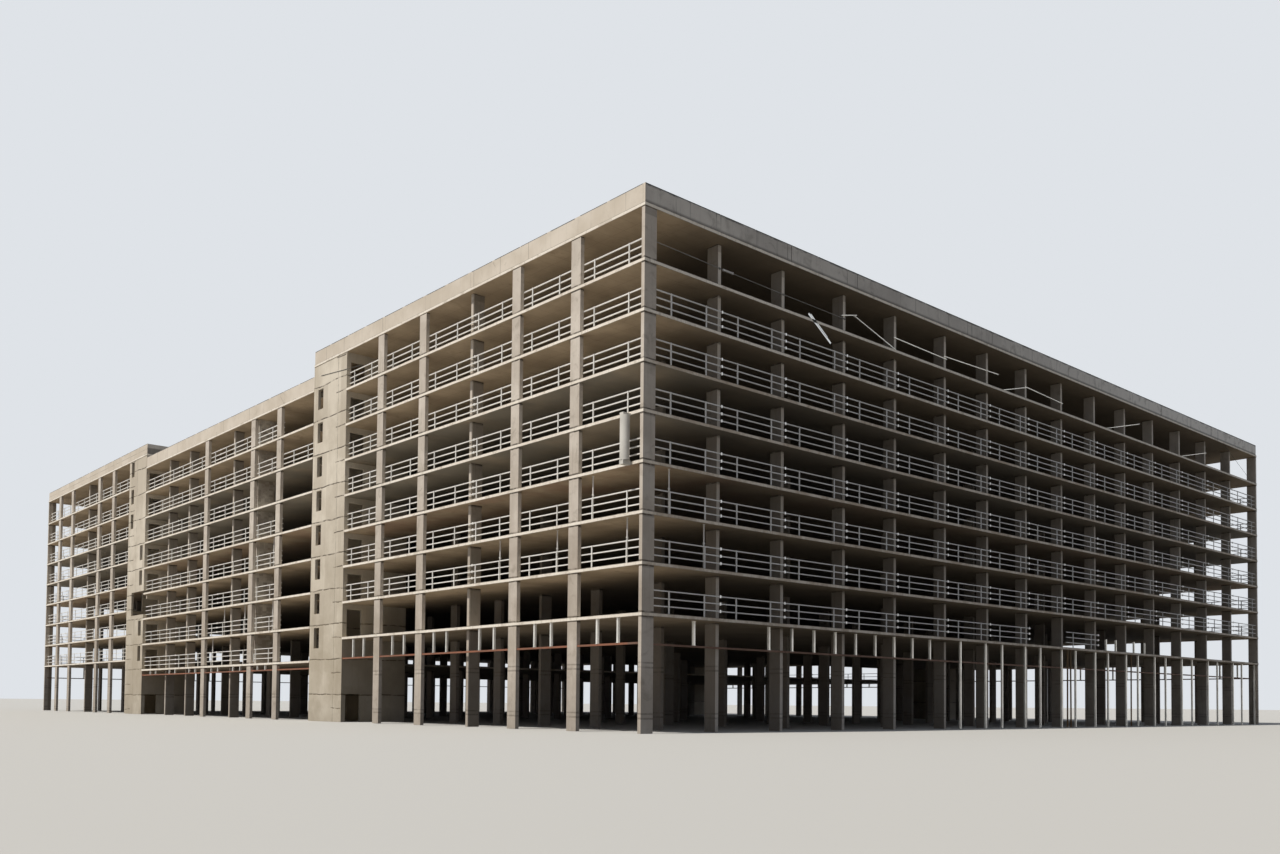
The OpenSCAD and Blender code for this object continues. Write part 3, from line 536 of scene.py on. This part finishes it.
conduit_steel = coated_steel("dull_conduit_steel", "#96948f", "#7f7d78", rust_share=0.05,
                             roughness=0.6)
clamp_steel = coated_steel("bright_zinc_steel", "#f1f1ef", "#e2e2df", rust_share=0,
                           roughness=0.3, metallic=1)
sheet_steel = flashing_steel()
timber = sawn_timber()
masonry = block_masonry()

by_slot = {
    "floor_concrete": front_slab, "roof_concrete": roof_slab, "parapet_concrete": parapet,
    "pylon_concrete": front_pylon, "core_concrete": front_core, "rail_steel": rail_steel,
    "post_steel": post_steel, "purlin_steel": purlin_steel, "white_steel": strip_steel,
    "tube_steel": tube_steel,
}
by_node = {
    "middle_floor_slabs": middle_slab, "rear_floor_slabs": rear_slab, "rear_link_slabs": rear_slab,
    "middle_roof_slab": middle_roof, "rear_roof_slab": rear_roof,
    "middle_ground_pylons": middle_pylon, "middle_lower_pylons": middle_pylon,
    "middle_upper_pylons": middle_pylon, "rear_ground_pylons": rear_pylon,
    "rear_lower_pylons": rear_pylon, "rear_upper_pylons": rear_pylon,
    "rear_core_outer_strips": rear_core, "rear_core_slit_panels": rear_core,
}


def dress_frame():
    slots = {part["node"]: part["material_slot"] for part in frame["record"]["subparts"]}
    for name, node in frame["nodes"].items():
        node.data.materials.clear()
        node.data.materials.append(by_node.get(name, by_slot[slots[name]]))


# Shapes that the pieces are put together from
def block(bm, low, high, bevel=0, place=at):
    a, b = place(*low), place(*high)
    size = Vector([abs(n) for n in b - a])
    matrix = Matrix.Translation((a + b) / 2) @ Matrix.Diagonal((*size, 1))
    made = bmesh.ops.create_cube(bm, size=1, matrix=matrix)
    if bevel:
        edges = list({edge for vert in made["verts"] for edge in vert.link_edges})
        bmesh.ops.bevel(bm, geom=edges, offset=bevel, affect="EDGES", segments=1, profile=0.5,
                        material=-1)


def along(start, end):
    turned = (end - start).to_track_quat("Z", "Y").to_matrix().to_4x4()
    return Matrix.Translation((start + end) / 2) @ turned


def rod(bm, start, end, radius, sides=8):
    bmesh.ops.create_cone(bm, cap_ends=True, segments=sides, radius1=radius, radius2=radius,
                          depth=(end - start).length, matrix=along(start, end))


def strip(bm, start, end, width, thick):
    size = Matrix.Diagonal((width, thick, (end - start).length, 1))
    bmesh.ops.create_cube(bm, size=1, matrix=along(start, end) @ size)


def new_piece(name, bm, material):
    bmesh.ops.recalc_face_normals(bm, faces=bm.faces)
    mesh = bpy.data.meshes.new(name)
    bm.to_mesh(mesh)
    bm.free()
    mesh.materials.append(material)
    piece = bpy.data.objects.new(name, mesh)
    bpy.context.scene.collection.objects.link(piece)
    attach(piece, "root")


# Railings: on a long face each pylon has a post before it and one past it, which comes a little
# nearer from line to line, and on a side face two posts past it. A run of rails is its start,
# its end and its floor
RAIL_TOPS = [0.141, 0.095, 0.049]
HALF_RAIL = 0.0035
LONG_RUN = (0.098, LENGTH_U - 0.031)
SIDE_END = 0.031
PAST_LINE, NEARER = 0.081, 0.0073
LONG_PAIR, SIDE_PAIR = 0.285, 0.296
FRONT_POSTS = [line + PAST_LINE - NEARER * j for j, line in enumerate(FRONT_LINES)]
LONG_FACE_POSTS = [u for post in FRONT_POSTS for u in (post - LONG_PAIR, post)]
LONG_FACE_POSTS = [0.231, *LONG_FACE_POSTS, LENGTH_U - 0.140]
STOP = 0.115
FRONT_RUNS = [(LONG_RUN[0], FRONT_POSTS[6] - STOP, FRONT_FLOORS[0]),
              (FRONT_POSTS[7] - STOP, FRONT_POSTS[8] - STOP, FRONT_FLOORS[0])]
FRONT_RUNS += [(*LONG_RUN, z) for z in FRONT_FLOORS[1:7]]
BACK_RUNS = [(*LONG_RUN, z) for z in FRONT_FLOORS[:7]]


def side_post(k):
    after_core = {6: FRONT_CORE[1], 14: REAR_CORE[1]}
    half = HALF_CROSSWISE if k in CROSSWISE else HALF_LENGTHWISE
    past_pylon = 0.153
    return after_core.get(k, SIDE_LINES[k] + half) + past_pylon


SIDE_POSTS = [0.171, 0.499]
SIDE_POSTS += [side_post(k) + step for k in range(len(SIDE_LINES)) for step in (0, SIDE_PAIR)]


def side_runs(last_front_floor, middle_starts):
    runs = [(SIDE_END, FRONT_CORE[0], z) for z in FRONT_FLOORS[1:last_front_floor + 1]]
    runs += [(REAR_CORE[1], LENGTH_V - SIDE_END, z) for z in REAR_FLOORS]
    return runs + [(start, REAR_CORE[0], z) for start, z in zip(middle_starts, MIDDLE_FLOORS)]


before_line = [line - HALF_LENGTHWISE for line in SIDE_LINES]
LEFT_STARTS = [before_line[7]] * 5 + [before_line[8], FRONT_CORE[1], before_line[7]]
LONG_FACES = (("front", at, FRONT_RUNS), ("back", at_back, BACK_RUNS))
SIDE_FACES = (("left", at_left, side_runs(7, LEFT_STARTS)),
              ("right", at_right, side_runs(6, [FRONT_CORE[1]] * 8)))


# Each rail joint is held in a clamp, higher than the rail, with a bolt on its outer side
LONG_CLAMP = {"half_width": 0.0042, "half_height": 0.0092, "outer": 0.0135, "inner": 0.0235,
              "bevel": 0.001, "bolt": 0.0022}
SIDE_CLAMP = {"half_width": 0.0065, "half_height": 0.0085, "outer": 0.0298, "inner": 0.0395,
              "bevel": 0.0015, "bolt": 0.002}


def rail_clamps(name, material, place, runs, joints,
                half_width, half_height, outer, inner, bevel, bolt):
    bm = bmesh.new()
    from_end, bolt_rise, bolt_length = 0.01, 0.005, 0.001
    for start, end, floor in runs:
        for joint in [joint for joint in joints if start + from_end < joint < end - from_end]:
            for top in RAIL_TOPS:
                z = floor + top - HALF_RAIL
                block(bm, (joint - half_width, outer, z - half_height),
                      (joint + half_width, inner, z + half_height), bevel, place)
                rod(bm, place(joint, outer, z + bolt_rise),
                    place(joint, outer - bolt_length, z + bolt_rise), bolt, 6)
    new_piece(name, bm, material)


# A plate with two bolts under every railing post
def foot_plates(name, place, runs, posts, depth):
    half_length, half_width, thick = 0.011, 0.006, 0.0012
    bolt_step, bolt_top, bolt_radius = 0.008, 0.0026, 0.0014
    bm = bmesh.new()
    for start, end, z in runs:
        for post in [post for post in posts if start < post < end]:
            block(bm, (post - half_length, depth - half_width, z),
                  (post + half_length, depth + half_width, z + thick), 0, place)
            for bolt in (post - bolt_step, post + bolt_step):
                rod(bm, place(bolt, depth, z + thick), place(bolt, depth, z + bolt_top),
                    bolt_radius, 6)
    new_piece(name, bm, plate_steel)


def railing_fittings():
    before_post = 0.138
    long_joints = [post - before_post for post in FRONT_POSTS]
    side_joints = [1.85, 6.60, 7.80, 10.92, 12.22]
    for face, place, runs in LONG_FACES:
        rail_clamps(face + "_rail_clamps", clamp_steel, place, runs, long_joints, **LONG_CLAMP)
    for face, place, runs in SIDE_FACES:
        rail_clamps(face + "_rail_clamps", rail_steel, place, runs, side_joints, **SIDE_CLAMP)
    for face, place, runs in LONG_FACES:
        foot_plates(face + "_post_plates", place, runs, LONG_FACE_POSTS, 0.0125)
    for face, place, runs in SIDE_FACES:
        foot_plates(face + "_post_plates", place, runs, SIDE_POSTS, 0.0285)


# Plates at the two ends of every hanger, against the slab and on the purlin
FRONT_PLATE_LEVELS = (0.6885, 0.5370)
MIDDLE_PLATE_LEVELS = (0.5065, 0.4640)


def end_plates(bm, place, hangers, levels, outer, inner):
    half_width, thick = 0.0115, 0.0015
    for hanger in hangers:
        for z in levels:
            block(bm, (hanger - half_width, outer, z),
                  (hanger + half_width, inner, z + thick), 0, place)


def hanger_plates():
    before_line, past_line, spacing = 0.216, 0.481, 0.233
    first = FRONT_LINES[0]
    long_hangers = [first - before_line] + [first + past_line + spacing * n for n in range(9)]
    bm = bmesh.new()
    for place in (at, at_back):
        end_plates(bm, place, long_hangers, FRONT_PLATE_LEVELS, 0.083, 0.100)
    new_piece("long_face_hanger_plates", bm, strip_steel)
    steps = (0.230, 0.408)
    front = [0.225, 0.420] + [SIDE_LINES[k] + step for k in range(5) for step in steps]
    middle = [SIDE_LINES[k] + step for k in range(7, 13) for step in steps]
    bm = bmesh.new()
    for place in (at_left, at_right):
        end_plates(bm, place, front, FRONT_PLATE_LEVELS, 0.006, 0.025)
        end_plates(bm, place, middle, MIDDLE_PLATE_LEVELS, 0.006, 0.025)
    new_piece("side_face_hanger_plates", bm, strip_steel)


# Dark sheet steel along the top of the parapets, in lengths that don't quite meet
def flash(bm, place, start, end, top, count, gap, folds, outer):
    length = (end - start) / count
    for i in range(count):
        left = start + length * i + random.uniform(0, gap)
        right = start + length * (i + 1) - random.uniform(0, gap)
        low = top - random.uniform(*folds)
        block(bm, (left, outer, low), (right, PARAPET_DEPTH, top), 0, place)


def parapet_flashing():
    bm = bmesh.new()
    for place in (at, at_back):
        flash(bm, place, PARAPET_DEPTH, LENGTH_U - PARAPET_DEPTH, PARAPET_TOP, count=30,
              gap=0.012, folds=(0.0045, 0.0075), outer=0.0054)
    corner, usual_length = 0.03, 0.32
    spans = [(corner, FRONT_CORE[1], PARAPET_TOP),
             (FRONT_CORE[1], REAR_CORE[0], MIDDLE_PARAPET_TOP),
             (REAR_CORE[0], LENGTH_V - corner, REAR_PARAPET_TOP)]
    for place in (at_left, at_right):
        for start, end, top in spans:
            count = round((end - start) / usual_length)
            flash(bm, place, start, end, top, count,
                  gap=0.03, folds=(0.0025, 0.0045), outer=0.0055)
    new_piece("parapet_flashing", bm, sheet_steel)


# The top storey of the front has no railing. A conduit with a lamp runs along its pylons, and
# strips of zinc coated steel lean from the floor to the pylons or lie across them
TOP_FLOOR = FRONT_FLOORS[7]


def top_storey_conduit():
    v, radius, clip_radius = 0.0965, 0.0026, 0.0042
    pylon_face = 0.1
    heights = {0.098: 2.982, FRONT_LINES[0]: 2.966, FRONT_LINES[1]: 2.955, FRONT_LINES[2]: 2.948}
    spots = [at(u, v, z) for u, z in heights.items()]
    bm = bmesh.new()
    for start, end in zip(spots, spots[1:]):
        rod(bm, start, end, radius)
    for u, z in list(heights.items())[1:]:
        rod(bm, at(u - 0.008, v, z), at(u + 0.008, v, z), clip_radius)
        block(bm, (u - 0.004, v, z - 0.007), (u + 0.004, pylon_face, z + 0.007))
    block(bm, (0.093, 0.0205, 2.976), (0.103, v, 2.988))
    new_piece("top_storey_conduit", bm, conduit_steel)


def top_storey_lamp():
    start = FRONT_LINES[0] + 0.03
    end = start + 0.088
    bm = bmesh.new()
    block(bm, (start, 0.091, 2.9585), (end, 0.102, 2.9705), 0.0015)
    for cap in (start, end):
        block(bm, (cap - 0.003, 0.0895, 2.957), (cap + 0.003, 0.1035, 2.972), 0.001)
    new_piece("top_storey_lamp", bm, post_steel)


def top_storey_strips():
    on_floor = TOP_FLOOR + 0.003
    line = FRONT_LINES
    leaning = [
        ((line[2] - 0.035, 2.966), (line[2] + 0.14, 3.008)),
        ((line[2] + 0.104, 3.000), (line[3] + 0.012, 2.858)),
        ((line[3] - 0.02, 2.951), (line[4] + 0.02, 2.936)),
        ((line[4] - 0.02, 2.954), (line[5] + 0.17, 2.975)),
        ((3.99, on_floor), (line[6] + 0.03, 2.962)),
        ((line[6] - 0.02, 2.960), (line[7] + 0.02, 2.935)),
        ((5.86, on_floor), (6.77, 3.026)),
        ((7.55, on_floor), (8.42, 2.995)),
    ]
    v = 0.0975
    bm = bmesh.new()
    for (u_start, z_start), (u_end, z_end) in leaning:
        strip(bm, at(u_start, v, z_start), at(u_end, v, z_end), 0.008, 0.006)
    new_piece("top_storey_strips", bm, strip_steel)


# Two strips hang slanting before the slab edge of the top storey
def hanging_strips():
    v, top = 0.0013, 2.837
    bm = bmesh.new()
    strip(bm, at(1.500, v, top), at(1.739, v, 2.685), 0.0026, 0.0150)
    strip(bm, at(1.522, v, top), at(1.702, v, 2.718), 0.0026, 0.0110)
    new_piece("hanging_strips", bm, clamp_steel)


# A dark rod lies along the wall of the front stair core, held by two clips
def core_wall_rod():
    u, radius, half_clip = 0.0012, 0.0020, 0.004
    v_start, z_start, v_end, z_end = 3.50, 2.949, 4.235, 3.020
    bm = bmesh.new()
    rod(bm, at(u, v_start, z_start), at(u, v_end, z_end), radius)
    for v in (3.79, 4.20):
        z = z_start + (v - v_start) * (z_end - z_start) / (v_end - v_start)
        block(bm, (0.0004, v - half_clip, z - half_clip), (0.0031, v + half_clip, z + half_clip))
    new_piece("core_wall_rod", bm, sheet_steel)


# A thin bar slants from the roof to the floor across the last bay of the top storey
def end_bay_bar():
    v, radius = 0.030, 0.0014
    bm = bmesh.new()
    rod(bm, at(8.766, v, ROOF_TOP - SLAB - 0.001), at(9.595, v, TOP_FLOOR + 0.001), radius)
    new_piece("end_bay_bar", bm, sheet_steel)


# Telescopic steel props from floor to slab behind the railings: a wide outer tube, a narrow inner
# one, the collar with its pin between them, and a plate at both ends
def steel_prop(bm, u, v, floors, i):
    floor, ceiling = floors[i], floors[i + 1] - SLAB
    collar = floor + (ceiling - floor) * 0.58
    half_plate, plate, pin, half_pin = 0.007, 0.001, collar - 0.002, 0.012
    outer_tube, inner_tube, collar_radius, pin_radius = 0.0050, 0.0042, 0.0066, 0.0012
    rod(bm, at(u, v, floor + plate), at(u, v, collar), outer_tube, 10)
    rod(bm, at(u, v, collar), at(u, v, ceiling - plate), inner_tube, 10)
    rod(bm, at(u, v, collar - 0.008), at(u, v, collar + 0.004), collar_radius, 10)
    rod(bm, at(u - half_pin, v, pin), at(u + half_pin, v, pin), pin_radius, 6)
    for low in (floor, ceiling - plate):
        block(bm, (u - half_plate, v - half_plate, low),
              (u + half_plate, v + half_plate, low + plate))


def steel_props():
    left_u, front_v = 0.0475, 0.0345
    bm = bmesh.new()
    for v, i in ((0.516, 2), (0.188, 1), (0.874, 1), (1.522, 1)):
        steel_prop(bm, left_u, v, FRONT_FLOORS, i)
    for v, i in ((5.2625, 3), (5.2625, 1), (5.9146, 1), (6.4363, 1), (6.7373, 0)):
        steel_prop(bm, left_u, v, MIDDLE_FLOORS, i)
    for u, i in ((0.2437, 2), (0.5435, 1)):
        steel_prop(bm, u, front_v, FRONT_FLOORS, i)
    new_piece("steel_props", bm, post_steel)


# Timber props from the ground to the first slab, on a sole plate and wedged at the head
def timber_props():
    v, side, sole, wedge = 0.032, 0.010, 0.004, 0.003
    ceiling = FRONT_FLOORS[0] - SLAB
    bm = bmesh.new()
    for foot, lean in ((5.142, 0.004), (5.207, -0.006), (6.405, 0.005)):
        head = foot + lean
        strip(bm, at(foot, v, sole), at(head, v, ceiling - wedge), side, side)
        block(bm, (foot - 0.013, v - 0.008, 0), (foot + 0.013, v + 0.008, sole))
        block(bm, (head - 0.012, v - 0.007, ceiling - wedge), (head + 0.012, v + 0.007, ceiling))
    new_piece("timber_props", bm, timber)


# A wall of blocks behind a pylon of the middle block, laid in half bond on every floor, with a
# core of mortar that shows in its joints
def block_wall():
    v_face, v_back = 5.63, 5.65
    u_start, u_end = 0.034, 0.204
    courses, half_joint, smallest, uneven = 14, 0.0009, 0.004, 0.0006
    ceilings = [z - SLAB for z in MIDDLE_FLOORS[1:] + [MIDDLE_ROOF_TOP]]
    bm = bmesh.new()
    for floor, ceiling in zip(MIDDLE_FLOORS, ceilings):
        high = (ceiling - floor) / courses
        for n in range(courses):
            low = floor + high * n
            u = u_start - (BLOCK_LENGTH / 2 if n % 2 else 0)
            while u < u_end - 0.002:
                left, right = max(u, u_start), min(u + BLOCK_LENGTH, u_end)
                if right - left > smallest:
                    face = v_face + random.uniform(0, uneven)
                    block(bm, (left + half_joint, face, low + half_joint),
                          (right - half_joint, v_back, low + high - half_joint))
                u += BLOCK_LENGTH
        block(bm, (u_start + 0.001, v_face + 0.005, floor),
              (u_end - 0.001, v_back - 0.001, ceiling))
    new_piece("block_wall", bm, masonry)


# Plain pale floor, a millimetre below the model. Beside the left face it is paler to the light
# that it throws up under the slabs
def plain_floor():
    bm = bmesh.new()
    bmesh.ops.create_grid(bm, x_segments=1, y_segments=1, size=400,
                          matrix=Matrix.Translation((0, 0, -0.001)))
    mesh = bpy.data.meshes.new("studio_floor")
    bm.to_mesh(mesh)
    bm.free()
    s = Surface("pale_floor")
    bounce = s.coat("#4c4b49", "#9a9792", s.where((s.x, -4.9, -5.6)))
    mesh.materials.append(s.finish(s.coat(bounce, "#b3b2ae", s.background_rays()), 0.95))
    floor = bpy.data.objects.new("studio_floor", mesh)
    bpy.context.scene.collection.objects.link(floor)


def studio_light():
    world = bpy.data.worlds.new("studio")
    bpy.context.scene.world = world
    sky = Shading(world)
    fill = sky.add("Background", "#cdd6e8", 0.31)
    seen = sky.add("Background", "#dfe3e8", 1)
    sky.add("OutputWorld", sky.add("MixShader", sky.background_rays(), fill, seen))
    data = bpy.data.lights.new("key_light", "SUN")
    data.energy = 4.15
    data.angle = math.radians(1.5)
    data.color = (1.0, 0.955, 0.89)
    key = bpy.data.objects.new("key_light", data)
    height, left, back = math.radians(58), -0.99, 0.12
    to_light = Vector((left * math.cos(height), back * math.cos(height), math.sin(height)))
    key.rotation_euler = to_light.to_track_quat("Z", "Y").to_euler()
    bpy.context.scene.collection.objects.link(key)


place_camera()
dress_frame()
railing_fittings()
hanger_plates()
parapet_flashing()
top_storey_conduit()
top_storey_lamp()
top_storey_strips()
hanging_strips()
core_wall_rod()
end_bay_bar()
steel_props()
timber_props()
block_wall()
plain_floor()
studio_light()

bpy.context.scene.view_settings.view_transform = "Standard"
